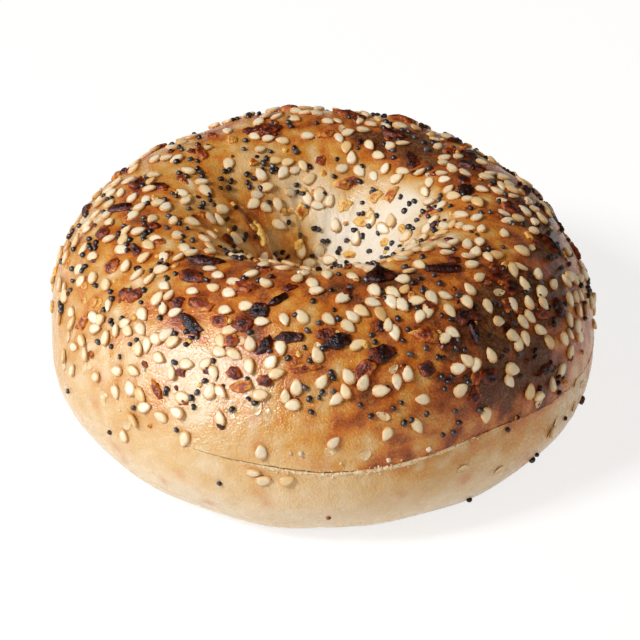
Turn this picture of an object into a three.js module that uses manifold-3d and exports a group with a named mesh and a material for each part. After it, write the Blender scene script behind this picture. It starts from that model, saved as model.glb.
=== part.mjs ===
// An everything bagel: one ring of baked dough, sliced from the front, with its seeds and flakes fused on.
// Millimetres, +Z up, the front towards -Y, the origin under the middle of the ring.
import * as THREE from "three";
import { mergeVertices } from "three/addons/utils/BufferGeometryUtils.js";
import Module from "manifold-3d";

// The ring of dough.
const OUTER_RADIUS = 53;
const CROWN_RADIUS = 29.3;
const HOLE_RADIUS = 8;
const HEIGHT = 44.5;
const BELLY_HEIGHT = 16;
const BASE_SINK = 1.9; // how far the round underside is flattened
const ROUNDNESS = { outerTop: 2.1, outerBottom: 2.37, innerTop: 1.85, innerBottom: 2.2 };
const TURN_STEPS = 60;
const AROUND_STEPS = 24;

// Slow waves along the ring: how many there are, how high, and the turn in degrees where they peak.
const RADIUS_WAVES = [
  { count: 2, high: 0.49, peak: 90 },
  { count: 3, high: 0.25, peak: 10 },
  { count: 4, high: 0.4, peak: -65 },
];
const HEIGHT_WAVES = [
  { count: 1, high: 1, peak: 0 },
  { count: 2, high: 1.2, peak: 12 },
];

// Low lumps of the crust, as waves along the ring times waves round its section.
const LUMPS = [
  { along: 5, across: 2, high: 0.3, start: 40 },
  { along: 9, across: 3, high: 0.22, start: -30 },
  { along: 14, across: 5, high: 0.12, start: 100 },
];

// The seam of the rolled dough: a ridge and a crease on the wall of the hole.
const SEAM_RIDGE = { turn: -110, wide: 13, high: 1.3 };
const SEAM_CREASE = { turn: -125, wide: 5, high: -0.9 };
const SEAM_TOP = 100;
const SEAM_FULL = 135;

// The knife cut: a nearly level sheet that stops short of the left side.
const CUT_HEIGHT = 20;
const CUT_FALL = 0.05; // mm down for each mm to the right
const CUT_RISE = { turn: 39, wide: 42, high: 3 };
const CUT_HINGE_X = -27;
const CUT_GAP = 0.4;
const CUT_MOUTH = { turn: 3, wide: 24, high: 0.6 }; // the gap is wider here
const CUT_STEPS = 10;
const CUT_OVERRUN = 10; // how far the knife's sheet runs past the ring

// Sesame seeds. Width, thickness and lift are shares: the lift is how far the middle stands out of the crust.
const SEED = { length: 3.2, vary: 0.2, wide: 0.62, thick: 0.28, lift: 0.3, taper: 0.3 };
const SEED_COUNT = 200;
const SEED_SPACING = 3.8;

// Flakes of onion and garlic. A corner stands at a share of its slab's size between least and most.
const FLAKE = { thick: 1.5, lift: 0.12, least: 0.7, most: 1.1 };
const REAR_FLAKES = { count: 26, spacing: 9, shortest: 3.4, longest: 6, narrowest: 2, widest: 3.2 };
const REAR_START = 75; // the turn, to either side, past which flakes are set out by rule
const REAR_FULL = 105;

// Where the seeds and flakes are: around angles between which the cover fades in, and out again in the hole.
const COVER_LOWEST = 12;
const COVER_FADE = { below: 8, above: 16 };
const COVER_HOLE = { start: 120, end: 180 };
const BARE_FRONT = { turn: 8, wide: 22, high: 20 };
const FULL_RIGHT = { turn: 72, wide: 24, high: -14 };
const THROW_FROM = -20;
const THROW_TO = 190;

// The largest flakes on the front and the sides: turn and around, length, width, and the way they lie.
const FRONT_FLAKES = [
  [-47, 88, 8, 2.6, 27],
  [-44, 77, 6.2, 3.2, 8],
  [-34, 66, 6, 3.2, -5],
  [-34, 56, 6.6, 2.6, -19],
  [-26.5, 61, 4.4, 2.6, 0],
  [-20, 62, 4.4, 3.2, 0],
  [-22, 54, 3.4, 2.8, 20],
  [-25, 80, 4.6, 3, -10],
  [-17, 69, 4.6, 3.6, 0],
  [-12.5, 76, 4.2, 1.6, 50],
  [-13, 54.5, 3.8, 2.2, 60],
  [-7.5, 58, 5.6, 2, 10],
  [-3.5, 46, 6.6, 1.5, 8],
  [-12, 40, 3.4, 2.6, 0],
  [-19.5, 41, 3.6, 2.4, 0],
  [-17, 36.5, 4.2, 2.4, 20],
  [-37, 26, 3.8, 1.8, -50],
  [-66, 31, 4.2, 2.6, 60],
  [-55, 56, 4.2, 3, 30],
  [-58.5, 53, 3, 2.6, 0],
  [-71, 57, 4, 3.4, 30],
  [-86, 59, 3.4, 3, 0],
  [-95, 68, 6.6, 2, 80],
  [-107, 73, 4.6, 3, 60],
  [-105, 84, 3.8, 2.6, 80],
  [-131, 87, 5, 2.4, 60],
  [-160, 91, 5, 2.4, 20],
  [22, 89, 6.6, 4.4, -10],
  [44, 82, 7.4, 3, -27],
  [137, 100, 4.6, 2, -40],
  [152, 86, 5, 2.6, 10],
  [127, 73, 5.2, 3.2, 70],
  [95, 72, 5, 3.6, 30],
  [67, 37, 4.6, 3.4, 80],
  [38, 57, 4.6, 3, 0],
  [38.5, 49, 5.4, 1.8, 82],
  [26, 54, 5, 2.8, -15],
  [14.5, 50, 5.8, 3.6, 5],
  [9.5, 44, 4.8, 3, 40],
  [4, 57, 5.6, 3, 10],
  [24, 41, 3.6, 3.2, 0],
  [38.5, 30, 4, 3.4, 0],
  [54.5, 21, 4, 2, 0],
  [57, 66, 5, 2.6, -20],
  [166, 126, 3.6, 2, 10],
  [141, 126, 3.2, 2.4, 60],
].map(([turn, around, length, width, spin]) => ({ turn, around, length, width, spin }));

const DEGREE = Math.PI / 180;
const wasm = await Module();
wasm.setup();

// Joins the vertices that a geometry keeps apart for its normals.
function weld(geometry) {
  geometry.deleteAttribute("normal");
  geometry.deleteAttribute("uv");
  return mergeVertices(geometry);
}

function toSolid(geometry) {
  const welded = weld(geometry);
  const vertProperties = new Float32Array(welded.attributes.position.array);
  const triVerts = new Uint32Array(welded.index.array);
  return new wasm.Manifold(new wasm.Mesh({ numProp: 3, vertProperties, triVerts }));
}

function toGeometry(solid) {
  const mesh = solid.getMesh();
  const geometry = new THREE.BufferGeometry();
  geometry.setAttribute("position", new THREE.BufferAttribute(mesh.vertProperties, 3));
  geometry.setIndex(new THREE.BufferAttribute(mesh.triVerts, 1));
  return geometry;
}

// A repeatable stream of numbers from 0 to 1.
function drawsFrom(start) {
  let state = start;
  return () => {
    state = (state * 48271) % 2147483647;
    return state / 2147483647;
  };
}

// A rounded bump of the turn: 1 at its own turn and next to nothing two widths away.
function bell(turn, bump) {
  return Math.exp(-(((turn - bump.turn) / bump.wide) ** 2));
}

function ramp(value, low, high) {
  const share = Math.min(Math.max((value - low) / (high - low), 0), 1);
  return share * share * (3 - 2 * share);
}

function waves(rows, turn) {
  return rows.reduce((sum, row) => sum + row.high * Math.cos((row.count * turn - row.peak) * DEGREE), 0);
}

// How far the crust stands out of the smooth ring, in millimetres.
function relief(turn, around) {
  let high = 0;
  for (const lump of LUMPS) {
    const along = Math.sin((lump.along * turn + lump.start) * DEGREE);
    high += lump.high * along * Math.cos(lump.across * around * DEGREE);
  }
  const inside = ramp(around, SEAM_TOP, SEAM_FULL);
  for (const part of [SEAM_RIDGE, SEAM_CREASE]) {
    high += inside * part.high * bell(turn, part);
  }
  return high;
}

// A point of the crust. The turn runs from the front towards +X, -180 to 180. Around runs from the outermost
// line (0) over the crown (90) into the hole (180) to the underside (270).
function crustPoint(turn, around) {
  const out = Math.cos(around * DEGREE);
  const up = Math.sin(around * DEGREE);
  const wide = out >= 0 ? OUTER_RADIUS - CROWN_RADIUS : CROWN_RADIUS - HOLE_RADIUS;
  const tall = up >= 0 ? HEIGHT - BELLY_HEIGHT : BELLY_HEIGHT + BASE_SINK;
  const side = out >= 0 ? "outer" : "inner";
  const power = ROUNDNESS[side + (up >= 0 ? "Top" : "Bottom")];
  const high = relief(turn, around);
  let radius = CROWN_RADIUS + wide * Math.sign(out) * Math.abs(out) ** (2 / power) + high * out;
  let z = BELLY_HEIGHT + tall * Math.sign(up) * Math.abs(up) ** (2 / power) + high * up;
  const reach = Math.min(Math.max((radius - HOLE_RADIUS) / (OUTER_RADIUS - HOLE_RADIUS), 0), 1);
  radius += waves(RADIUS_WAVES, turn) * reach;
  z += waves(HEIGHT_WAVES, turn) * Math.min(Math.max(z / HEIGHT, 0), 1);
  return new THREE.Vector3(
    radius * Math.sin(turn * DEGREE),
    -radius * Math.cos(turn * DEGREE),
    Math.max(z, 0),
  );
}

// The ring: a lathe's grid of vertices, each one moved to its place on the crust.
function makeRing() {
  const profile = [];
  for (let step = 0; step <= AROUND_STEPS; step++) {
    const around = (step % AROUND_STEPS) * (360 / AROUND_STEPS) * DEGREE;
    const tube = (OUTER_RADIUS - HOLE_RADIUS) / 2;
    profile.push(new THREE.Vector2(HOLE_RADIUS + tube + tube * Math.cos(around), tube * Math.sin(around)));
  }
  const geometry = new THREE.LatheGeometry(profile, TURN_STEPS);
  const place = geometry.attributes.position;
  for (let index = 0; index < place.count; index++) {
    const turn = (Math.floor(index / profile.length) % TURN_STEPS) * (360 / TURN_STEPS);
    const around = ((index % profile.length) % AROUND_STEPS) * (360 / AROUND_STEPS);
    const point = crustPoint(turn > 180 ? turn - 360 : turn, around > 270 ? around - 360 : around);
    place.setXYZ(index, point.x, point.y, point.z);
  }
  return toSolid(geometry);
}

// The wedge that the knife takes out: a box whose two faces follow the cut's height.
function makeCut() {
  const reach = OUTER_RADIUS + CUT_OVERRUN;
  const geometry = new THREE.BoxGeometry(reach - CUT_HINGE_X, 2 * reach, 1, CUT_STEPS, CUT_STEPS, 1);
  geometry.translate((reach + CUT_HINGE_X) / 2, 0, 0);
  const place = geometry.attributes.position;
  for (let index = 0; index < place.count; index++) {
    const x = place.getX(index);
    const y = place.getY(index);
    const turn = Math.atan2(x, -y) / DEGREE;
    const aside = Math.min(Math.abs(turn - CUT_RISE.turn) / CUT_RISE.wide, 1);
    const middle = CUT_HEIGHT - CUT_FALL * x + CUT_RISE.high * Math.cos(aside * 90 * DEGREE) ** 2;
    const gap = CUT_GAP + CUT_MOUTH.high * bell(turn, CUT_MOUTH);
    place.setZ(index, middle + gap * place.getZ(index));
  }
  return toSolid(geometry);
}

// Where a piece lies on the crust: its middle, and its own length, width and height directions.
function seat({ turn, around, spin }, lift) {
  const step = 0.5;
  const middle = crustPoint(turn, around);
  const along = crustPoint(turn + step, around).sub(crustPoint(turn - step, around)).normalize();
  const across = crustPoint(turn, around + step).sub(crustPoint(turn, around - step)).normalize();
  const normal = new THREE.Vector3().crossVectors(along, across).normalize();
  const lengthWay = along.applyAxisAngle(normal, spin * DEGREE);
  const widthWay = new THREE.Vector3().crossVectors(normal, lengthWay).normalize();
  const matrix = new THREE.Matrix4().makeBasis(lengthWay, widthWay, normal);
  matrix.setPosition(middle.addScaledVector(normal, lift));
  return matrix;
}

// A sesame seed: a flat drop, blunt at one end.
function makeSeed(seed) {
  const geometry = new THREE.SphereGeometry(0.5, 6, 3);
  geometry.rotateX(90 * DEGREE);
  const thick = seed.length * SEED.thick;
  const place = geometry.attributes.position;
  for (let index = 0; index < place.count; index++) {
    const along = place.getX(index);
    place.setXYZ(
      index,
      along * seed.length,
      place.getY(index) * seed.width * (1 - 2 * SEED.taper * along),
      place.getZ(index) * thick,
    );
  }
  geometry.applyMatrix4(seat(seed, thick * SEED.lift));
  return toSolid(geometry);
}

// A flake: a slab with its corners knocked about.
function makeFlake(flake, draw) {
  const slab = weld(new THREE.BoxGeometry(flake.length, flake.width, FLAKE.thick));
  const place = slab.attributes.position;
  for (let index = 0; index < place.count; index++) {
    const share = FLAKE.least + (FLAKE.most - FLAKE.least) * draw();
    place.setXYZ(index, place.getX(index) * share, place.getY(index) * share, place.getZ(index) * share);
  }
  slab.applyMatrix4(seat(flake, FLAKE.thick * FLAKE.lift));
  return toSolid(slab);
}

// How thickly the crust is covered, from 0 to 1: the top all over, less down the front, more on the right.
function cover(turn, around) {
  let lowest = COVER_LOWEST;
  for (const region of [BARE_FRONT, FULL_RIGHT]) {
    lowest += region.high * bell(turn, region);
  }
  const fromBelow = ramp(around, lowest - COVER_FADE.below, lowest + COVER_FADE.above);
  return fromBelow * (1 - ramp(around, COVER_HOLE.start, COVER_HOLE.end));
}

// Throws pieces at the crust until enough have found a free place. One that finds none is drawn all the same.
function scatter(count, spacing, draw, accept, drawPiece, taken) {
  const kept = [];
  while (kept.length < count) {
    const turn = 360 * draw() - 180;
    const around = THROW_FROM + (THROW_TO - THROW_FROM) * draw();
    const piece = { turn, around, ...drawPiece() };
    const point = crustPoint(turn, around);
    const wanted = draw() < accept(turn, around) * (Math.hypot(point.x, point.y) / OUTER_RADIUS);
    if (wanted && taken.every((other) => other.distanceTo(point) > spacing)) {
      taken.push(point);
      kept.push(piece);
    }
  }
  return kept;
}

const flakeDraw = drawsFrom(11);
const takenPoints = FRONT_FLAKES.map((flake) => crustPoint(flake.turn, flake.around));
const rearFlakes = scatter(
  REAR_FLAKES.count,
  REAR_FLAKES.spacing,
  flakeDraw,
  (turn, around) => cover(turn, around) * ramp(Math.abs(turn), REAR_START, REAR_FULL),
  () => ({
    length: REAR_FLAKES.shortest + (REAR_FLAKES.longest - REAR_FLAKES.shortest) * flakeDraw(),
    width: REAR_FLAKES.narrowest + (REAR_FLAKES.widest - REAR_FLAKES.narrowest) * flakeDraw(),
    spin: 180 * flakeDraw(),
  }),
  takenPoints,
);

const seedDraw = drawsFrom(23);
const seeds = scatter(
  SEED_COUNT,
  SEED_SPACING,
  seedDraw,
  cover,
  () => {
    const length = SEED.length * (1 + SEED.vary * (seedDraw() - 0.5));
    return { length, width: length * SEED.wide, spin: 360 * seedDraw() };
  },
  takenPoints,
);

const cornerDraw = drawsFrom(37);
const pieces = [...FRONT_FLAKES, ...rearFlakes].map((flake) => makeFlake(flake, cornerDraw));
pieces.push(...seeds.map(makeSeed));

// The outermost shell alone: a hollow sealed in by the joining is filled and a loose scrap is dropped.
const whole = pieces.reduce((body, piece) => body.add(piece), makeRing()).subtract(makeCut());
const [bagelSolid] = whole.decompose().sort((one, other) => other.volume() - one.volume());

const crust = new THREE.MeshStandardMaterial({ color: 0xc88b45, roughness: 0.5, metalness: 0 });
const bagel = new THREE.Mesh(toGeometry(bagelSolid), crust);
bagel.name = "bagel";

const group = new THREE.Group();
group.add(bagel);

export default group;
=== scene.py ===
import math
import random

import bpy
import numpy as np
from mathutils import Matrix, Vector, noise


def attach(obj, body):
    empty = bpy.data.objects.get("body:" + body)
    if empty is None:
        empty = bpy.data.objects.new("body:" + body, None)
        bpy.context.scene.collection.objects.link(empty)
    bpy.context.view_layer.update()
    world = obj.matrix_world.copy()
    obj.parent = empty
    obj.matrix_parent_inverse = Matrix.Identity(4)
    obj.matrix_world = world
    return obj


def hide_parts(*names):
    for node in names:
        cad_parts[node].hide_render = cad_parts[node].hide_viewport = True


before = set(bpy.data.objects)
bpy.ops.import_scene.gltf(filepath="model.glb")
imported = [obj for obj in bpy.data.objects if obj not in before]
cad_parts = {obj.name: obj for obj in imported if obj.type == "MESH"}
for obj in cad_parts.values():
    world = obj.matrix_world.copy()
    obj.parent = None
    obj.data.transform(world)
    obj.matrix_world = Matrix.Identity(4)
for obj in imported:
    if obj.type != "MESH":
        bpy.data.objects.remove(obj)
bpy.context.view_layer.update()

mm = 0.001


# camera: the picture is 640 by 640, a long lens looks down on the front
camera = {
    "elevation": 33.6,
    "distance": 0.7,
    "target": (0.0, 0.0, 0.02225),
    "targetPixel": (320.5, 302.0),   # where the target shows in the picture
    "pixelsPerMetre": 5120,
    "picture": 640,
    "sensor": 36,
}


def makeCamera():
    e = math.radians(camera["elevation"])
    back = Vector((0, -math.cos(e), math.sin(e)))
    right = Vector((1, 0, 0))
    up = back.cross(right)
    focus = Vector(camera["target"])
    px, py = camera["targetPixel"]
    half = camera["picture"] / 2
    aim = focus - right * (px - half) / camera["pixelsPerMetre"] - up * (half - py) / camera["pixelsPerMetre"]
    place = focus + back * camera["distance"]
    bpy.ops.object.camera_add(location=place)
    cam = bpy.context.object
    cam.name = "camera"
    cam.rotation_euler = (aim - place).to_track_quat("-Z", "Y").to_euler()
    cam.data.sensor_width = camera["sensor"]
    cam.data.lens = camera["sensor"] * camera["pixelsPerMetre"] * camera["distance"] / camera["picture"]
    cam.data.clip_start = 0.01
    bpy.context.scene.camera = cam


makeCamera()
bpy.context.view_layer.update()
print("camera in place")


def eye():                             # where the camera stands, in millimetres
    return np.array(bpy.context.scene.camera.matrix_world.translation) / mm


def pictureOf(points):                 # the pixels where points in millimetres show, and how far off they are
    cam = bpy.context.scene.camera
    back = np.array(cam.matrix_world.inverted())
    seen = points * mm @ back[:3, :3].T + back[:3, 3]
    focal = camera["picture"] * cam.data.lens / cam.data.sensor_width
    half = camera["picture"] / 2
    across, down = seen[:, 0] / seen[:, 2], seen[:, 1] / seen[:, 2]
    return np.stack([half - focal * across, half + focal * down, -seen[:, 2]], -1)


# the ring of dough, in millimetres, the same form as its solid
ring = {
    "outer": 53.0, "crown": 29.3, "hole": 8.0, "height": 44.5, "belly": 16.0, "sink": 1.9,
    "outerTop": 2.1, "outerBottom": 2.37, "innerTop": 1.85, "innerBottom": 2.2,
    "radiusWaves": ((2, 0.49, 90), (3, 0.25, 10), (4, 0.4, -65)),       # how many, how high, peak turn
    "heightWaves": ((1, 1.0, 0), (2, 1.2, 12)),
    "lumps": ((5, 2, 0.3, 40), (9, 3, 0.22, -30), (14, 5, 0.12, 100)),  # along, across, high, start
    "seam": ((-110, 13, 1.3), (-125, 5, -0.9)),                         # turn, wide, high
    "seamTop": 100, "seamFull": 135,
    "turnSteps": 430, "aroundSteps": 184,
    "skin": ((13.0, 0.14, 3.0), (4.5, 0.1, 17.0), (1.7, 0.045, 40.0)),  # spot size, high, start
    "blisters": 260, "blisterWide": (0.5, 1.5), "blisterHigh": (0.06, 0.16),
    "folds": (2.6, 0.3, 8.0),          # drawn dough down the wall of the hole: size, high, start
    "foldsFrom": 104, "foldsFull": 132,
}

# the knife cut, the torn crumb along its lower lip and the skin that shuts it on the right
cut = {
    "height": 20.0, "fall": 0.05, "riseTurn": 39, "riseWide": 42, "riseHigh": 3.0,
    "hinge": -27.0, "gap": 0.34, "mouthTurn": 3, "mouthWide": 24, "mouthHigh": 0.4,
    "closedTurn": -30, "closedWide": 12, "closedShare": 0.8, "reach": 60.0, "step": 0.9, "rough": 0.16,
    "crumbs": 130, "crumbSize": (0.2, 0.5),
}
lips = {
    "tornCrumb": {"from": -17.0, "to": 34.0, "steps": 460, "out": 0.2, "up": 0.4, "down": 0.3, "rough": 0.55},
    "shutSkin": {"from": 31.0, "to": 100.0, "steps": 500, "out": 0.1, "up": 0.5, "down": 0.12, "rough": 0.75},
}
lipBlank = {"sides": 14, "radius": 2, "middle": 50, "sweep": 90}       # what a lip is shaped from


def ramp(value, low, high):
    share = np.clip((value - low) / (high - low), 0, 1)
    return share * share * (3 - 2 * share)


def bell(value, middle, wide):
    return np.exp(-(((value - middle) / wide) ** 2))


def turnBell(turn, middle, wide):      # knows that 180 and -180 meet
    return np.exp(-((((turn - middle + 180) % 360 - 180) / wide) ** 2))


def noiseAt(points, size, start):      # smooth, about -1 to 1, with spots of this size in millimetres
    return np.array([noise.noise(p) for p in (points / size + start).tolist()])


def waves(rows, turn):
    return sum(high * np.cos(np.radians(count * turn - peak)) for count, high, peak in rows)


def relief(turn, around):
    high = 0
    for along, across, size, start in ring["lumps"]:
        high = high + size * np.sin(np.radians(along * turn + start)) * np.cos(np.radians(across * around))
    inside = ramp(around, ring["seamTop"], ring["seamFull"])
    for middle, wide, size in ring["seam"]:
        high = high + inside * size * bell(turn, middle, wide)
    return high


def turnOf(points):
    return np.degrees(np.arctan2(points[:, 0], -points[:, 1]))


def outward(turn):
    return np.sin(np.radians(turn)), -np.cos(np.radians(turn))


# turn: from the front towards +X, -180 to 180. around: outermost 0, crown 90, in the hole 180, under 270
def crustAt(turn, around, extra=0.0):
    turn, around = np.broadcast_arrays(np.asarray(turn, float), np.asarray(around, float))
    out, up = np.cos(np.radians(around)), np.sin(np.radians(around))
    wide = np.where(out >= 0, ring["outer"] - ring["crown"], ring["crown"] - ring["hole"])
    tall = np.where(up >= 0, ring["height"] - ring["belly"], ring["belly"] + ring["sink"])
    outerPower = np.where(up >= 0, ring["outerTop"], ring["outerBottom"])
    innerPower = np.where(up >= 0, ring["innerTop"], ring["innerBottom"])
    power = np.where(out >= 0, outerPower, innerPower)
    high = relief(turn, around) + extra
    radius = ring["crown"] + wide * np.sign(out) * np.abs(out) ** (2 / power) + high * out
    z = ring["belly"] + tall * np.sign(up) * np.abs(up) ** (2 / power) + high * up
    reach = np.clip((radius - ring["hole"]) / (ring["outer"] - ring["hole"]), 0, 1)
    radius = radius + waves(ring["radiusWaves"], turn) * reach
    z = z + waves(ring["heightWaves"], turn) * np.clip(z / ring["height"], 0, 1)
    x, y = outward(turn)
    return np.stack([radius * x, radius * y, np.maximum(z, 0)], -1)


def placeOf(points):                   # the turn and around of points on the crust or near it
    turn = turnOf(points)
    out = np.hypot(points[:, 0], points[:, 1]) - ring["crown"]
    z = points[:, 2] / (1 + waves(ring["heightWaves"], turn) / ring["height"])
    up = z - ring["belly"]
    out = out / np.where(out >= 0, ring["outer"] - ring["crown"], ring["crown"] - ring["hole"])
    up = up / np.where(up >= 0, ring["height"] - ring["belly"], ring["belly"] + ring["sink"])
    around = np.degrees(np.arctan2(np.sign(up) * np.abs(up) ** 1.05, np.sign(out) * np.abs(out) ** 1.05))
    return turn, np.where(around < -90, around + 360, around)


def cutHeight(x, turn):
    aside = np.minimum(np.abs(turn - cut["riseTurn"]) / cut["riseWide"], 1)
    return cut["height"] - cut["fall"] * x + cut["riseHigh"] * np.cos(aside * math.pi / 2) ** 2


def cutGap(turn):                      # on the left it closes to a hairline
    gap = cut["gap"] + cut["mouthHigh"] * bell(turn, cut["mouthTurn"], cut["mouthWide"])
    return gap * (1 - cut["closedShare"] * bell(turn, cut["closedTurn"], cut["closedWide"]))


# colours are given as seen on a screen, 0 to 255
def screen(red, green, blue):
    value = np.array([red, green, blue]) / 255
    return np.where(value <= 0.04045, value / 12.92, ((value + 0.055) / 1.055) ** 2.4)


def rgba(colour):
    return (*[float(c) for c in colour], 1.0)


def between(stops, value):             # a colour for each value from (value, colour) stops
    places = [place for place, colour in stops]
    return np.stack([np.interp(value, places, [colour[i] for place, colour in stops]) for i in range(3)], -1)


def coordinatesOf(mesh):
    co = np.empty(len(mesh.vertices) * 3)
    mesh.vertices.foreach_get("co", co)
    return co.reshape(-1, 3) / mm


def setCoordinates(mesh, points):
    mesh.vertices.foreach_set("co", (points * mm).ravel())
    mesh.update()


def deselectAll():
    if bpy.context.object and bpy.context.object.mode != "OBJECT":
        bpy.ops.object.mode_set(mode="OBJECT")
    bpy.ops.object.select_all(action="DESELECT")


def onlySelect(obj):
    deselectAll()
    obj.select_set(True)
    bpy.context.view_layer.objects.active = obj


def editAll():                         # into edit mode, with everything selected
    bpy.ops.object.mode_set(mode="EDIT")
    bpy.ops.mesh.select_all(action="SELECT")


def spinBlank(name, sides, radius, middle, fill, steps, angle):      # a circle spun about the upright axis
    deselectAll()
    bpy.ops.mesh.primitive_circle_add(
        vertices=sides, radius=radius * mm, fill_type=fill, location=(middle * mm, 0, 0),
        rotation=(math.pi / 2, 0, 0))
    obj = bpy.context.object
    obj.name = name
    bpy.ops.object.transform_apply(location=True, rotation=True, scale=True)
    editAll()
    bpy.ops.mesh.spin(steps=steps, angle=math.radians(angle), center=(0, 0, 0), axis=(0, 0, 1))
    bpy.ops.mesh.select_all(action="SELECT")
    bpy.ops.mesh.remove_doubles(threshold=0.00001)
    bpy.ops.mesh.normals_make_consistent(inside=False)
    bpy.ops.object.mode_set(mode="OBJECT")
    return obj


def addAttribute(mesh, name, values):
    kind = "FLOAT_COLOR" if values.ndim == 2 else "FLOAT"
    attribute = mesh.attributes.new(name, kind, "POINT")
    if kind == "FLOAT_COLOR":
        full = np.ones((len(values), 4))
        full[:, :3] = values
        attribute.data.foreach_set("color", full.ravel())
    else:
        attribute.data.foreach_set("value", values)


# a material with its Principled node and a short way to add nodes
class Finish:
    def __init__(self, name):
        self.material = bpy.data.materials.new(name)
        self.material.use_nodes = True
        self.nodes = self.material.node_tree.nodes
        self.shader = self.nodes["Principled BSDF"]
        self.coordinates = self.add("ShaderNodeTexCoord").outputs["Object"]

    def add(self, kind, **settings):
        node = self.nodes.new(kind)
        for name, value in settings.items():
            setattr(node, name, value)
        return node

    def link(self, start, end):
        self.material.node_tree.links.new(start, end)

    def noise(self, size, detail=2.0, roughness=0.5):   # size of the spots in millimetres
        node = self.add("ShaderNodeTexNoise")
        node.inputs["Scale"].default_value = 1 / (size * mm)
        node.inputs["Detail"].default_value = detail
        node.inputs["Roughness"].default_value = roughness
        self.link(self.coordinates, node.inputs["Vector"])
        return node.outputs["Fac"]

    def attribute(self, name, output="Fac"):
        return self.add("ShaderNodeAttribute", attribute_name=name).outputs[output]

    def range(self, value, low, high, toLow, toHigh):
        node = self.add("ShaderNodeMapRange")
        for name, number in (("From Min", low), ("From Max", high), ("To Min", toLow), ("To Max", toHigh)):
            node.inputs[name].default_value = number
        self.link(value, node.inputs["Value"])
        return node.outputs["Result"]

    def mix(self, share, first, second):
        node = self.add("ShaderNodeMix", data_type="RGBA")
        sockets = {s.identifier: s for s in node.inputs}
        for name, value in (("Factor_Float", share), ("A_Color", first), ("B_Color", second)):
            if isinstance(value, bpy.types.NodeSocket):
                self.link(value, sockets[name])
            elif isinstance(value, float):
                sockets[name].default_value = value
            else:
                sockets[name].default_value = rgba(value)
        return {s.identifier: s for s in node.outputs}["Result_Color"]

    def maths(self, operation, first, second):
        node = self.add("ShaderNodeMath", operation=operation)
        self.link(first, node.inputs[0])
        self.link(second, node.inputs[1])
        return node.outputs["Value"]

    def ramp(self, value, stops):
        node = self.add("ShaderNodeValToRGB")
        elements = node.color_ramp.elements
        while len(elements) < len(stops):
            elements.new(0.5)
        for element, (place, colour) in zip(elements, stops):
            element.position = place
            element.color = rgba(colour)
        self.link(value, node.inputs["Fac"])
        return node.outputs["Color"]

    def bump(self, height, deep, before=None):           # deep in millimetres
        node = self.add("ShaderNodeBump")
        node.inputs["Distance"].default_value = deep * mm
        self.link(height, node.inputs["Height"])
        if before is not None:
            self.link(before, node.inputs["Normal"])
        return node.outputs["Normal"]

    def finish(self, colour, roughness, normal=None):
        self.link(colour, self.shader.inputs["Base Color"])
        if isinstance(roughness, float):
            self.shader.inputs["Roughness"].default_value = roughness
        else:
            self.link(roughness, self.shader.inputs["Roughness"])
        if normal is not None:
            self.link(normal, self.shader.inputs["Normal"])
        return self.material


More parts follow.
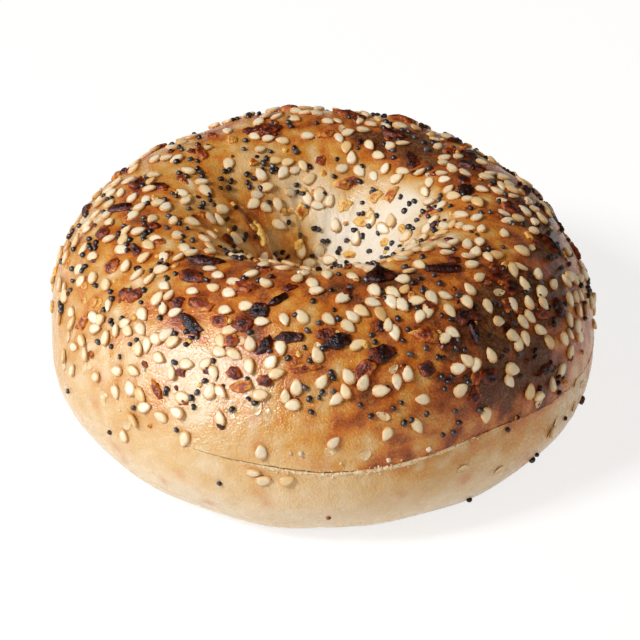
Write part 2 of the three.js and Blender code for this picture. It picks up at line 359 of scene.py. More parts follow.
# crust colours from unbaked to dark, and the regions that are baked more or less; a few regions are painted
# shade, painted highlight or a painted lit patch instead, as marked below
crustLook = {
    "stops": (
        (-0.3, screen(255, 252, 246)), (0.0, screen(252, 240, 217)), (0.2, screen(238, 202, 145)),
        (0.4, screen(231, 168, 71)), (0.6, screen(221, 124, 26)), (0.8, screen(168, 67, 6)),
        (1.0, screen(82, 25, 3)),
    ),
    "byAround": (
        (-90, 0.1), (-38, 0.03), (-23, 0.05), (-8, 0.15), (7, 0.22), (22, 0.3), (37, 0.38), (52, 0.46),
        (67, 0.54), (82, 0.61), (97, 0.54), (112, 0.36), (127, 0.1), (142, -0.1), (160, -0.1), (230, 0.1),
        (270, 0.22),
    ),
    "regions": (                       # turn, around, wide along, wide across, more or less
        (38, 50, 24, 16, 0.42), (36, 26, 20, 10, 0.34), (2, 38, 14, 16, 0.2), (76, 46, 24, 16, 0.42),
        (24, 84, 18, 10, 0.3), (50, 80, 14, 10, 0.2), (66, 98, 22, 12, -0.12), (102, 60, 20, 20, 0.3),
        (134, 86, 26, 14, 0.38), (158, 98, 20, 14, 0.28), (124, 120, 18, 12, -0.24), (98, 132, 14, 14, -0.06),
        # (-50, 122) darkens the front left wall inside the hole as painted shade
        (-22, 100, 16, 12, 0.26), (-50, 122, 18, 14, 0.44), (36, 112, 20, 10, 0.4), (-118, 84, 22, 14, -0.28),
        # (-24, 38) is paler: partly paler crust, partly a painted highlight on the front left shoulder
        (-84, 90, 22, 12, -0.08), (-144, 98, 16, 10, -0.1), (-24, 38, 16, 10, -0.14),
        (-50, 38, 14, 10, -0.06), (-22, 66, 13, 12, 0.14), (17, 29, 8, 8, 0.1), (5, 44, 8, 22, -0.1),
        # (-106, 142) and (-160, 156) darken the left wall of the hole as painted shade
        (-106, 142, 36, 28, 0.52), (-160, 156, 20, 20, 0.44), (24, 7, 12, 9, 0.24), (64, 12, 34, 20, 0.24),
        # (-116, 142) is a thin dark line painted along the crease in the hole wall, as painted shade
        (46, 24, 12, 8, 0.16), (-150, 104, 12, 8, -0.2), (-126, 112, 10, 8, -0.14), (-116, 142, 3, 22, 0.34),
        (113, 92, 14, 8, 0.1), (112, 113, 16, 9, -0.2), (-100, 112, 16, 10, -0.12), (152, 84, 20, 14, 0.08),
        (48, 16, 26, 14, 0.1), (-38, 44, 14, 12, -0.08), (50, 44, 22, 20, 0.26), (6, 66, 13, 13, -0.12),
        (-132, 104, 12, 8, -0.14), (-151, 86, 14, 9, -0.12), (-166, 118, 14, 9, -0.12),
        (-132, 142, 12, 10, 0.12), (51, 62, 12, 12, 0.16),
        # (72, 68) is a painted lit patch, (-12, 38) is paler as a painted highlight on the front left
        # shoulder, (-100, 162) darkens the deep left wall of the hole as painted shade
        (60, 26, 22, 10, 0.14), (72, 68, 10, 8, -0.16), (-12, 38, 20, 8, -0.08), (-100, 162, 44, 18, 0.24),
    ),
    "mottle": ((15.0, 0.2, 5.0), (6.5, 0.36, 23.0), (2.8, 0.38, 61.0), (1.3, 0.18, 80.0)),
    "stain": screen(214, 118, 30),
    "stains": 60, "stainAround": (-34, 40, -4), "stainWide": (0.6, 1.7), "stainShare": (0.15, 0.5),
    "stainsSeen": (                    # turn, around, wide, share
        (31, -9, 1.5, 0.6), (49, -24, 2.2, 0.6), (47, -13, 1.6, 0.3), (55, -9, 1.4, 0.3), (0, 9, 2.0, 0.5),
        (-48, -9, 1.5, 0.4), (-30, -5, 1.3, 0.35), (-24, -22, 1.6, 0.4), (4, -42, 1.8, 0.5),
        (-14, 26, 1.8, 0.5), (18, 24, 2.0, 0.4), (-2, 24, 1.8, 0.4), (8, 30, 1.6, 0.4),
        (64, 6, 1.6, 0.5), (69, 8, 1.2, 0.5),
    ),
    "nearFlake": 0.08, "nearFlakeWide": 1.3,     # the skin is darker round a flake
    # painted contact shade: the skin is painted darker and browner close round each seed
    "seedContactShade": 0.7, "seedContactShadeWide": 0.7, "seedContactShadeColour": np.array([0.72, 0.54, 0.34]),
    # darker just above the cut: partly the upper half's browner crust, partly painted shade under its
    # overhanging edge; paler just below
    "aboveCut": 0.27, "belowCut": -0.08, "nearCutWide": 5.5,
}


# bake level with painted shade and painted highlight in it: darker on the shaded left wall of the hole, along
# its crease and just above the cut, paler where the shine falls
def bakeAndShadeAt(points, flakePieces):       # 0 for raw and pale, 1 for dark
    turn, around = placeOf(points)
    bakeAndShade = np.interp(around, *zip(*crustLook["byAround"]))
    for t, a, wideAlong, wideAcross, more in crustLook["regions"]:
        bakeAndShade = bakeAndShade + more * turnBell(turn, t, wideAlong) * bell(around, a, wideAcross)
    for flake in flakePieces:
        away = np.linalg.norm(points - crustAt(flake["turn"], flake["around"]), axis=1) - flake["size"][0] / 3
        away = np.maximum(away, 0) / crustLook["nearFlakeWide"]
        bakeAndShade = bakeAndShade + crustLook["nearFlake"] * np.exp(-(away ** 2))
    # just above the cut: partly browner crust, partly painted shade under the upper half's edge
    over = points[:, 2] - cutHeight(points[:, 0], turn)
    nearCut = ramp(turn, -10, 12) * (1 - ramp(turn, 36, 70)) * (around < 60)
    more = np.where(over > 0, crustLook["aboveCut"], crustLook["belowCut"])
    bakeAndShade = bakeAndShade + more * nearCut * np.exp(-((over / crustLook["nearCutWide"]) ** 2))
    show = 0.12 + 0.88 * ramp(bakeAndShade, 0.1, 0.55)
    for size, high, start in crustLook["mottle"]:
        bakeAndShade = bakeAndShade + high * show * noiseAt(points, size, start)
    return np.clip(bakeAndShade, -0.3, 1)


def crustColour(points, bakeAndShade, seeds=()):
    colour = between(crustLook["stops"], bakeAndShade)
    # painted contact shade round each seed
    for seed in seeds:                 # browner close round a seed
        wide = seed["size"][0] / 2 + crustLook["seedContactShadeWide"]
        away = np.linalg.norm(points - crustAt(seed["turn"], seed["around"]), axis=1)
        near = away < wide
        share = crustLook["seedContactShade"] * (1 - away[near] / wide) ** 0.5 * ramp(bakeAndShade[near], 0.1, 0.35)
        colour[near] += (crustLook["seedContactShadeColour"] * colour[near] - colour[near]) * share[:, None]
    rng = random.Random(5)
    stains = list(crustLook["stainsSeen"])
    for i in range(crustLook["stains"]):             # orange stains low on the sides
        place = (rng.uniform(-180, 180), rng.triangular(*crustLook["stainAround"]))
        stains.append((*place, rng.uniform(*crustLook["stainWide"]), rng.uniform(*crustLook["stainShare"])))
    for t, a, wide, high in stains:
        away = np.linalg.norm(points - crustAt(t, a), axis=1)
        near = away < 3 * wide
        away = away[near] * (1 + 0.5 * noiseAt(points[near], 1.3, 9.0))
        share = high * np.exp(-((away / wide) ** 2))
        colour[near] += (crustLook["stain"] - colour[near]) * share[:, None]
    return colour


def skinHigh(points):                  # the soft unevenness of the skin
    high = np.zeros(len(points))
    for size, deep, start in ring["skin"]:
        high += deep * noiseAt(points, size, start)
    turn, around = placeOf(points)
    size, deep, start = ring["folds"]
    x, y = outward(turn)
    upright = np.stack([x * 14, y * 14, points[:, 2] * 0.16], -1)
    inside = ramp(around, ring["foldsFrom"], ring["foldsFull"])
    high += inside * deep * (0.6 - 1.6 * np.abs(noiseAt(upright, size, start)))
    return high * ramp(points[:, 2], 0.0, 2.0)


def makeCutter():
    reach, hinge = cut["reach"], cut["hinge"]
    deselectAll()
    bpy.ops.mesh.primitive_grid_add(
        x_subdivisions=int((reach - hinge) / cut["step"]),
        y_subdivisions=int(2 * reach / cut["step"]), size=1,
        location=((reach + hinge) / 2 * mm, 0, 0))
    cutter = bpy.context.object
    cutter.scale = ((reach - hinge) * mm, 2 * reach * mm, 1)
    bpy.ops.object.transform_apply(location=True, rotation=True, scale=True)
    editAll()
    bpy.ops.mesh.extrude_region_move(TRANSFORM_OT_translate={"value": (0, 0, 1)})
    bpy.ops.mesh.select_all(action="SELECT")
    bpy.ops.mesh.normals_make_consistent(inside=False)
    bpy.ops.object.mode_set(mode="OBJECT")
    points = coordinatesOf(cutter.data)
    side = np.where(points[:, 2] > 1, 0.5, -0.5)
    turn = turnOf(points)
    points[:, 2] = cutHeight(points[:, 0], turn) + side * cutGap(turn)
    fine = 0.5 * noiseAt(points, 0.8, 90.0) * side
    points[:, 2] += cut["rough"] * (noiseAt(points, 1.6, 70.0) + fine)
    setCoordinates(cutter.data, points)
    return cutter


def makeCrust(crustFinish, crumbFinish, flakePieces, seeds):
    tube = (ring["outer"] - ring["hole"]) / 2
    middle = ring["hole"] + tube
    obj = spinBlank("crust", ring["aroundSteps"], tube, middle, "NOTHING", ring["turnSteps"], 360)
    points = coordinatesOf(obj.data)
    turn = turnOf(points)
    around = np.degrees(np.arctan2(points[:, 2], np.hypot(points[:, 0], points[:, 1]) - middle))
    around = np.where(around < -90, around + 360, around)
    base = crustAt(turn, around)
    high = skinHigh(base)
    rng = random.Random(8)
    for i in range(ring["blisters"]):                # small blisters in the skin
        spot = crustAt(rng.uniform(-180, 180), rng.uniform(-30, 130))
        wide = rng.uniform(*ring["blisterWide"])
        away = np.linalg.norm(base - spot, axis=1) / wide
        high += rng.uniform(*ring["blisterHigh"]) * np.exp(-(away ** 2))
    setCoordinates(obj.data, crustAt(turn, around, high))
    obj.data.materials.append(crustFinish)
    obj.data.materials.append(crumbFinish)
    cutter = makeCutter()
    cutter.data.materials.append(crumbFinish)
    onlySelect(obj)
    slit = obj.modifiers.new("knifeCut", "BOOLEAN")
    slit.operation = "DIFFERENCE"
    slit.solver = "EXACT"
    slit.material_mode = "TRANSFER"
    slit.object = cutter
    bpy.ops.object.modifier_apply(modifier=slit.name)
    bpy.data.objects.remove(cutter)
    cutFaces = sum(face.material_index == 1 for face in obj.data.polygons)
    print("crust", len(obj.data.polygons), "faces,", cutFaces, "of them in the cut")
    points = coordinatesOf(obj.data)
    bakeAndShade = bakeAndShadeAt(points, flakePieces)
    addAttribute(obj.data, "bakeAndShadeLevel", bakeAndShade)
    addAttribute(obj.data, "crustColour", crustColour(points, bakeAndShade, seeds))
    bpy.ops.object.shade_smooth_by_angle(angle=math.radians(55))
    return obj


def lipAround(turn):                   # where the cut meets the crust, closer at each step
    around = np.zeros_like(turn)
    for again in range(12):
        at = crustAt(turn, around)
        around = around + (cutHeight(at[:, 0], turn) - at[:, 2]) * 2.0
    return around


def makeLip(name, finish):
    lip = lips[name]
    sides, radius, start, sweep = lipBlank.values()
    obj = spinBlank(name, sides, radius, start, "NGON", lip["steps"], sweep)
    points = coordinatesOf(obj.data)
    share = np.abs(np.degrees(np.arctan2(points[:, 1], points[:, 0]))) / sweep
    angle = np.arctan2(points[:, 2], np.hypot(points[:, 0], points[:, 1]) - start)
    turn = lip["from"] + (lip["to"] - lip["from"]) * share
    middle = crustAt(turn, lipAround(turn))
    out = np.stack([*outward(turn), np.zeros(len(turn))], -1)
    thin = np.clip(np.minimum(share, 1 - share) * 10, 0.02, 1) ** 0.5
    rough = 1 + lip["rough"] * (noiseAt(middle, 1.1, 12.0) + noiseAt(middle + points * 0.3, 0.42, 33.0))
    edge = 1 + lip["rough"] * (noiseAt(middle, 2.2, 51.0) + 0.8 * noiseAt(middle, 0.6, 71.0))
    over = cutGap(turn) * lip["up"] * (0.2 + 0.8 * ramp(turn, -1, 9))    # on the left the gap stays open
    high = np.where(np.sin(angle) > 0, over, cutGap(turn) * 0.5 + lip["down"]) * edge
    points = middle + out * (lip["out"] * thin * rough * np.cos(angle) - 0.07)[:, None]
    points[:, 2] += high * thin * np.sin(angle)
    setCoordinates(obj.data, points)
    obj.data.materials.append(finish)
    bakeAndShade = np.minimum(bakeAndShadeAt(points, []) + 0.1, 1)
    addAttribute(obj.data, "bakeAndShadeLevel", bakeAndShade)
    addAttribute(obj.data, "crustColour", crustColour(points, bakeAndShade))
    bpy.ops.object.shade_smooth()
    return obj


def drawCrumbs():
    rng = random.Random(41)
    pieces = []
    for i in range(cut["crumbs"]):
        turn = rng.triangular(lips["tornCrumb"]["from"], lips["tornCrumb"]["to"] + 4, 8)
        around = lipAround(np.array([turn]))[0] + rng.gauss(-0.3, 0.7)
        size = rng.triangular(*cut["crumbSize"], cut["crumbSize"][0])
        pieces.append({
            "turn": turn, "around": around,
            "size": (size * 1.4, size, size * 0.9), "spin": rng.uniform(0, 360),
            "shape": rng.randrange(granules["kinds"]), "tone": 0.5, "lift": size * 0.2,
            "lean": leanBy(rng, 0.3)})
    return pieces


# things seen in the photo are placed by pixel: from there to the turn and around of the crust below
def placesSeen(pixels):
    turn, around = [axis.ravel() for axis in np.meshgrid(np.arange(-180, 180, 2.0), np.arange(-44, 170, 2.0))]
    points = crustAt(turn, around)
    up = np.cross(crustAt(turn + 1, around) - points, crustAt(turn, around + 1) - points)
    facing = np.sum(up * (eye() - points), axis=1) > 0
    shown = pictureOf(points)
    fine = np.arange(-2, 2.1, 0.2)
    fineTurn, fineAround = [axis.ravel() for axis in np.meshgrid(fine, fine)]
    places = []
    for x, y in pixels:
        near = np.argmin(np.hypot(shown[:, 0] - x, shown[:, 1] - y) + np.where(facing, 0, 1000))
        tryTurn, tryAround = turn[near] + fineTurn, around[near] + fineAround
        tried = pictureOf(crustAt(tryTurn, tryAround))
        best = np.argmin(np.hypot(tried[:, 0] - x, tried[:, 1] - y))
        places.append((float(tryTurn[best]), float(tryAround[best])))
    return places


def unseen(turn, around):              # 1 where the photo doesn't show the crust, less where it does
    way = eye() - crustAt(turn, around)
    facing = float(np.dot(directions(turn, around, 0, (0, 0))[2], way / np.linalg.norm(way)))
    return 1 - cover["heldBack"] * float(ramp(facing, *cover["edgeOfView"])) * (around < cover["deep"])


def spinSeen(turn, around, angle):     # the spin that shows as this angle in the picture
    ways = directions(turn, around, 0, (0, 0))
    base = crustAt(turn, around)
    shown = pictureOf(np.stack([base, base + ways[0], base + ways[1]]))[:, :2] * (1, -1)
    axes = np.stack([shown[1] - shown[0], shown[2] - shown[0]], -1)
    share = np.linalg.solve(axes, [math.cos(math.radians(angle)), math.sin(math.radians(angle))])
    return math.degrees(math.atan2(share[1], share[0]))


# loose things: a shape is modelled once, then its copies are set on the crust and joined to one mesh
def shapeOf(obj):                      # rim: 0 on the middle of the top, 1 round the edge
    points = coordinatesOf(obj.data) * mm
    faces = [tuple(face.vertices) for face in obj.data.polygons]
    mesh = obj.data
    bpy.data.objects.remove(obj)
    bpy.data.meshes.remove(mesh)
    across = points / np.abs(points).max(axis=0)
    return {"points": points, "faces": faces, "rim": np.clip(np.hypot(across[:, 0], across[:, 1]), 0, 1)}


def leanBy(rng, most):
    return rng.gauss(0, most), rng.gauss(0, most)


def directions(turn, around, spin, lean):
    step = 0.5
    along = crustAt(turn + step, around) - crustAt(turn - step, around)
    across = crustAt(turn, around + step) - crustAt(turn, around - step)
    along /= np.linalg.norm(along)
    across /= np.linalg.norm(across)
    up = np.cross(along, across)
    up /= np.linalg.norm(up)
    side = np.cross(up, along)
    length = along * math.cos(math.radians(spin)) + side * math.sin(math.radians(spin))
    up = up + length * lean[0] + np.cross(up, length) * lean[1]
    up /= np.linalg.norm(up)
    length = length - up * np.dot(length, up)
    length /= np.linalg.norm(length)
    return np.stack([length, np.cross(up, length), up])


def ballShape(segments, rings, reshape):         # a ball one across, its points moved by reshape
    deselectAll()
    bpy.ops.mesh.primitive_uv_sphere_add(segments=segments, ring_count=rings, radius=0.5)
    ball = bpy.context.object
    points = coordinatesOf(ball.data) * mm
    reshape(points)
    setCoordinates(ball.data, points / mm)
    return shapeOf(ball)


def stack(name, shapes, pieces, finish):
    points, faces, tones, rims, start = [], [], [], [], 0
    for piece in pieces:
        shape = shapes[piece["shape"]]
        ways = directions(piece["turn"], piece["around"], piece["spin"], piece["lean"])
        base = crustAt(piece["turn"], piece["around"])
        middle = base + ways[2] * (piece["lift"] + skinHigh(base[None])[0])
        form = piece["form"] if "form" in piece else shape["points"] * piece["size"]
        points.append(middle + form @ ways)
        faces += [tuple(v + start for v in face) for face in shape["faces"]]
        tones.append(np.full(len(form), piece["tone"]))
        rims.append(shape["rim"])
        start += len(form)
    points = np.concatenate(points)
    mesh = bpy.data.meshes.new(name)
    mesh.from_pydata((points * mm).tolist(), [], faces)
    mesh.materials.append(finish)
    addAttribute(mesh, "tone", np.concatenate(tones))
    addAttribute(mesh, "rim", np.concatenate(rims))
    obj = bpy.data.objects.new(name, mesh)
    bpy.context.scene.collection.objects.link(obj)
    onlySelect(obj)
    bpy.ops.object.shade_smooth()
    print(name, len(pieces), "pieces,", len(faces), "faces")
    return obj


# sesame seeds: the first ones lie where the solid has them
sesame = {
    "length": 3.4, "vary": 0.2, "wide": 0.66, "thick": 0.24, "lift": 0.3, "taper": 0.3, "flatTop": 0.55,
    "shapes": ((0.3, 1.0, 0.0), (0.42, 0.92, 0.06), (0.22, 1.06, -0.05)),        # sharp, plump, bow
    "varySeen": (0.92, 1.06), "far": 0.86, "farRows": (120, 340),                # smaller high in the picture
    "lean": (0.07, 0.1), "leanExtra": (0.14, 0.18), "over": 0.3, "toneSpread": 0.42,
    "solidCount": 200, "solidSpacing": 3.8, "count": 620, "spacing": 1.8, "segments": 10, "rings": 6,
    "ivory": (screen(255, 244, 218), screen(254, 236, 198), screen(242, 204, 140)),
    # golden edge of a seed: partly its own colour, partly painted shade round its thin edge
    "rim": screen(226, 168, 88),
    "seen": (                          # pixel and the angle of the tip in the photo
        (164, 309, 100), (176, 313, 25), (226, 311, -15), (247, 307, 0), (126, 323, 30), (141, 330, -60),
        (157, 339, 180), (167, 335, 45), (174, 342, 20), (140, 349, 90), (160, 358, -30), (187, 364, -10),
        (173, 373, 100), (214, 373, -75), (135, 370, -35), (131, 388, 110), (146, 407, 10), (178, 412, 150),
        (135, 419, -60), (221, 341, -60), (220, 352, -20), (235, 355, -30), (250, 344, 100),
        (250, 367, -70), (271, 362, 45), (284, 321, -70), (281, 348, -80), (277, 374, 15), (261, 395, 0),
        (286, 396, 90), (296, 387, 85), (263, 323, 0), (230, 331, 10), (210, 391, 70), (221, 392, -45),
        (125, 435, 90), (317, 355, 110), (358, 345, 30), (322, 381, 60), (348, 377, 110), (346, 391, 110),
        (336, 399, 220), (363, 382, 70), (396, 382, -80), (407, 374, 90), (421, 399, 180), (417, 426, -60),
        (387, 434, 240), (334, 442, 40), (261, 451, 90), (254, 472, 0), (264, 479, 10), (287, 479, 15),
        (452, 333, -30), (512, 336, -30), (524, 339, -75), (562, 339, -65), (569, 335, -55),
        (491, 355, 115), (458, 368, 10), (509, 381, -55), (561, 369, 60), (551, 384, 80), (528, 391, 80),
        (537, 395, 0), (551, 431, 80), (539, 331, -30), (296, 113, 0), (317, 115, 0), (336, 113, 20),
        (348, 111, 0), (277, 118, 10), (364, 115, 0), (328, 122, -20), (338, 122, -40), (348, 134, 15),
        (363, 132, 0), (371, 126, -20), (378, 120, -40), (386, 127, -40), (415, 129, -10), (435, 141, -20),
        (308, 137, 0), (339, 140, -60), (370, 146, -50), (352, 158, 90), (379, 156, -20), (403, 144, 0),
        (255, 138, -20), (268, 140, 10), (260, 151, 20), (207, 149, 10), (182, 144, 20), (156, 161, 40),
        (276, 161, 0), (288, 163, 10), (295, 171, 20), (303, 167, -60), (309, 179, 35), (342, 169, 20),
        (374, 177, -60), (386, 169, 60), (403, 172, -5), (420, 173, 40), (443, 164, 20), (442, 174, 15),
        (458, 158, 10), (445, 180, 0), (465, 174, -20), (482, 163, -20), (426, 193, -60), (430, 203, 0),
        (449, 191, 40), (454, 197, 0), (468, 201, 10), (482, 191, -20), (490, 175, 0), (477, 219, 20),
        (460, 227, 80), (453, 225, 60), (427, 229, 60), (425, 239, -30), (438, 239, 20), (482, 230, 80),
        (480, 243, -80), (467, 245, 90), (454, 244, 20), (444, 248, -10), (488, 259, -50), (468, 258, 0),
        (479, 278, 30), (420, 266, -30), (417, 251, 40), (401, 261, 10), (389, 265, 0), (410, 272, 20),
        (371, 271, 10), (370, 286, 0), (340, 281, 20), (329, 284, 60), (327, 276, -60), (298, 280, 45),
        (286, 278, 20), (235, 283, 0), (219, 277, -20), (210, 270, 0), (209, 248, -30), (210, 254, 20),
        (222, 210, 0), (210, 219, -50), (186, 202, 25), (174, 222, 80), (158, 205, 20), (156, 240, 0),
        (149, 247, -30), (145, 259, 30), (180, 259, 50), (162, 271, 10), (150, 280, 40), (202, 184, 0),
        (154, 177, 10), (151, 183, 30), (150, 190, 0), (267, 188, 10), (257, 195, 0), (266, 208, -30),
        (277, 205, -75), (289, 193, 0), (308, 199, -70), (318, 206, -10), (330, 201, 70), (336, 225, 90),
        (319, 249, -70), (301, 251, 80), (357, 238, 80), (330, 260, 0), (309, 262, 0), (317, 292, 0),
        (375, 292, -50), (366, 296, 20), (393, 294, -30), (405, 290, 60), (417, 302, 0), (373, 304, -10),
        (402, 306, -50), (431, 299, -50), (467, 303, -70), (487, 307, -60), (449, 312, -50),
        (420, 318, 250), (381, 315, -60), (362, 312, -30), (352, 317, 140), (348, 327, -40), (388, 326, 90),
        (329, 320, -40), (498, 322, 0), (110, 240, 20), (127, 232, 20), (139, 233, 20), (124, 241, 60),
        (127, 267, 70), (94, 257, 0), (80, 269, 50), (82, 281, 50), (66, 296, 90), (61, 284, 80),
        (65, 289, 80), (60, 317, 90), (73, 324, 70), (96, 318, -60), (97, 329, 10), (118, 330, 60),
        (107, 338, 75), (84, 341, -60), (87, 354, 95), (66, 356, 100), (74, 370, 70), (158, 299, 50),
        (170, 296, 65), (230, 294, -20), (233, 243, -40), (509, 185, 0), (501, 187, -50), (503, 202, -30),
        (513, 197, 0), (504, 214, -20), (518, 219, 0), (534, 210, 0), (534, 223, -90), (547, 215, -60),
        (512, 271, -60), (520, 269, -30), (537, 275, 90), (528, 303, 100), (542, 304, -50), (568, 300, -65),
        (578, 311, -60), (568, 320, -80), (585, 312, -75), (579, 296, -60), (522, 323, -50),
        (576, 327, -85), (118, 184, 40), (122, 194, 65), (112, 194, 40), (133, 199, 40), (140, 208, 35),
        (110, 205, 50), (101, 201, 20), (166, 209, 50), (107, 216, 80), (96, 215, 40), (111, 224, -40),
        (88, 230, 20), (78, 242, 50), (167, 160, 20),
    ),
}

# flakes of onion and garlic: turn, around, length, width, spin, and tone from black (0) to amber (1)
flakes = {
    "thick": 1.5, "lift": 0.12, "rear": 26, "spacing": 9, "length": (3.4, 6), "width": (2, 3.2),
    "rearStart": 75, "rearFull": 105, "smallThick": 0.9, "lean": (0.05, 0.1), "cuts": 9,
    "tones": (0.02, 0.12, 0.2, 0.3, 0.4, 0.5, 0.6, 0.85),
    "sides": (5, 7), "corner": (0.76, 1.0), "ridges": 0.18, "pits": 0.1, "warp": 0.26,
    "seen": (                          # pixel in the photo, length, width, angle, tone
        (302, 211, 3.4, 2.6, 80, 0.84), (345, 206, 3.6, 2.2, 20, 0.98), (362, 222, 3.2, 2.4, 0, 0.99),
        (370, 217, 2.8, 2.2, 60, 0.97), (386, 243, 2.6, 2.0, 10, 0.93), (350, 254, 2.8, 1.6, 0, 0.95),
        (254, 228, 2.8, 1.8, -30, 0.72), (298, 246, 2.6, 2.0, 90, 0.88), (403, 229, 2.2, 1.6, 0, 0.95),
        (391, 195, 3.4, 2.4, 70, 0.66), (351, 182, 3.8, 2.6, 20, 0.5), (232, 141, 3.0, 2.2, 60, 0.78),
        (253, 163, 2.2, 1.6, 0, 0.74), (321, 160, 2.4, 1.8, 40, 0.42), (184, 182, 2.2, 1.6, 120, 0.66),
        (250, 262, 3.0, 2.0, 10, 0.7), (275, 262, 2.6, 1.8, 0, 0.62),
        (249, 131, 3.0, 2.0, 10, 0.3), (271, 134, 2.6, 2.0, 0, 0.2), (195, 152, 3.4, 2.0, -10, 0.35),
        (213, 136, 3.2, 2.0, 0, 0.45), (449, 151, 3.6, 2.2, 10, 0.5), (413, 165, 3.0, 2.0, 20, 0.25),
        (431, 212, 3.0, 1.8, 20, 0.5), (396, 133, 3.0, 2.0, -20, 0.25), (360, 119, 3.0, 2.0, 0, 0.2),
        (467, 165, 3.6, 2.4, -20, 0.08), (480, 169, 3.0, 2.0, -20, 0.12), (202, 215, 2.6, 1.6, 0, 0.5),
        (153, 227, 3.0, 2.2, 0, 0.3), (160, 243, 2.6, 1.8, 0, 0.45), (162, 189, 2.6, 1.8, 0, 0.4),
        (454, 260, 3.2, 2.2, 10, 0.3), (278, 267, 2.6, 1.6, 0, 0.75), (125, 209, 4.6, 2.0, 10, 0.25),
        (138, 190, 3.2, 2.0, 20, 0.4), (104, 230, 2.8, 2.4, 0, 0.4), (113, 263, 3.2, 2.4, 30, 0.4),
        (137, 251, 2.6, 1.8, -40, 0.3), (100, 303, 2.2, 1.5, 90, 0.78), (84, 301, 2.0, 1.6, 0, 0.8),
        (85, 286, 2.0, 1.6, 0, 0.75), (131, 299, 2.8, 2.0, -40, 0.35), (179, 301, 2.4, 1.8, 0, 0.45),
        (496, 268, 2.8, 2.0, 0, 0.35), (512, 285, 5.0, 3.0, -20, 0.2), (502, 281, 2.6, 2.0, 0, 0.35),
        (514, 210, 4.4, 3.0, -20, 0.35), (522, 207, 3.2, 2.4, 0, 0.15), (528, 235, 2.8, 1.8, -60, 0.85),
        (518, 311, 1.8, 1.4, 0, 0.5), (540, 313, 3.6, 2.6, 0, 0.3), (325, 335, 3.2, 2.2, 20, 0.35),
        (429, 336, 4.2, 2.2, -20, 0.42), (444, 343, 3.0, 2.6, 0, 0.22), (470, 315, 5.0, 2.4, -10, 0.2),
    ),
    "small": (                         # not in the solid
        (-30.5, 26, 2.8, 2.4, 0, 0.5), (-66, 41, 2.6, 1.8, 80, 0.75), (-113, 91, 2.4, 2, 0, 0.45),
        (1, 60, 3, 2.4, 0, 0.3), (31, 48, 3.4, 2.4, 0, 0.3), (35, 32, 3.4, 2.2, 45, 0.45),
        (34, 25, 4, 2.6, 80, 0.35), (57, 58, 3.6, 3, 0, 0.3), (59, 45, 3, 2.4, 0, 0.4),
        (97, 63, 3, 2.4, 0, 0.1), (52, 53, 3, 2.6, 0, 0.5), (-32, 36, 2, 1.6, 0, 0.5),
        (-26, 40, 2, 1.8, 0, 0.3), (-42, 33, 1.8, 1.4, 0, 0.45), (-41, 62, 2.4, 2, 0, 0.3),
        (-157, 87, 3.4, 2, 0, 0.3), (-80, 80, 3, 2, 0, 0.3), (-22, 97, 2.6, 2, 0, 0.3),
        (16, 62, 3, 2.2, 20, 0.2), (30, 66, 3.4, 2.2, -30, 0.35), (48, 44, 3, 2, 60, 0.1),
        (112, 88, 3.2, 2.4, 10, 0.2), (80, 60, 2.6, 2, 40, 0.25), (-10, 84, 2.8, 2, 30, 0.2),
    ),
    "front": (
        (-47, 88, 8, 2.6, 27, 0.0), (-44, 77, 6.2, 3.2, 8, 0.3), (-34, 66, 6, 3.2, -5, 0.5),
        (-34, 56, 6.6, 2.6, -19, 0.08), (-26.5, 61, 4.4, 2.6, 0, 0.48), (-20, 62, 4.4, 3.2, 0, 0.3),
        (-22, 54, 3.4, 2.8, 20, 0.5), (-25, 80, 4.6, 3, -10, 0.45), (-17, 69, 4.6, 3.6, 0, 0.0),
        (-12.5, 76, 4.2, 1.6, 50, 0.0), (-13, 54.5, 3.8, 2.2, 60, 0.1), (-7.5, 58, 5.6, 2, 10, 0.1),
        (-3.5, 46, 6.6, 1.5, 8, 0.6), (-12, 40, 3.4, 2.6, 0, 0.35), (-19.5, 41, 3.6, 2.4, 0, 0.4),
        (-17, 36.5, 4.2, 2.4, 20, 0.62), (-37, 26, 3.8, 1.8, -50, 0.5), (-66, 31, 4.2, 2.6, 60, 0.6),
        (-55, 56, 4.2, 3, 30, 0.35), (-58.5, 53, 3, 2.6, 0, 0.4), (-71, 57, 4, 3.4, 30, 0.5),
        (-86, 59, 3.4, 3, 0, 0.35), (-95, 68, 6.6, 2, 80, 0.12), (-107, 73, 4.6, 3, 60, 0.25),
        (-105, 84, 3.8, 2.6, 80, 0.25), (-131, 87, 5, 2.4, 60, 0.5), (-160, 91, 5, 2.4, 20, 0.3),
        (22, 89, 6.6, 4.4, -10, 0.05), (44, 82, 7.4, 3, -27, 0.15), (137, 100, 4.6, 2, -40, 0.25),
        (152, 86, 5, 2.6, 10, 0.2), (127, 73, 5.2, 3.2, 70, 0.1), (95, 72, 5, 3.6, 30, 0.3),
        (67, 37, 4.6, 3.4, 80, 0.15), (38, 57, 4.6, 3, 0, 0.2), (38.5, 49, 5.4, 1.8, 82, 0.02),
        (26, 54, 5, 2.8, -15, 0.5), (14.5, 50, 5.8, 3.6, 5, 0.12), (9.5, 44, 4.8, 3, 40, 0.45),
        (4, 57, 5.6, 3, 10, 0.05), (24, 41, 3.6, 3.2, 0, 0.2), (38.5, 30, 4, 3.4, 0, 0.2),
        (54.5, 21, 4, 2, 0, 0.2), (57, 66, 5, 2.6, -20, 0.25), (166, 126, 3.6, 2, 10, 0.75),
        (141, 126, 3.2, 2.4, 60, 0.95),
    ),
}

cover = {
    "lowest": 12, "below": 8, "above": 16, "holeStart": 120, "holeEnd": 180,
    "regions": ((8, 22, 20), (72, 24, -14)), "throwFrom": -20, "throwTo": 190,
    "heldBack": 0.95, "edgeOfView": (-0.1, 0.15), "deep": 150,     # where the photo shows the crust
}


def drawsFrom(start):                  # a repeatable stream of numbers from 0 to 1
    state = start
    while True:
        state = state * 48271 % 2147483647
        yield state / 2147483647


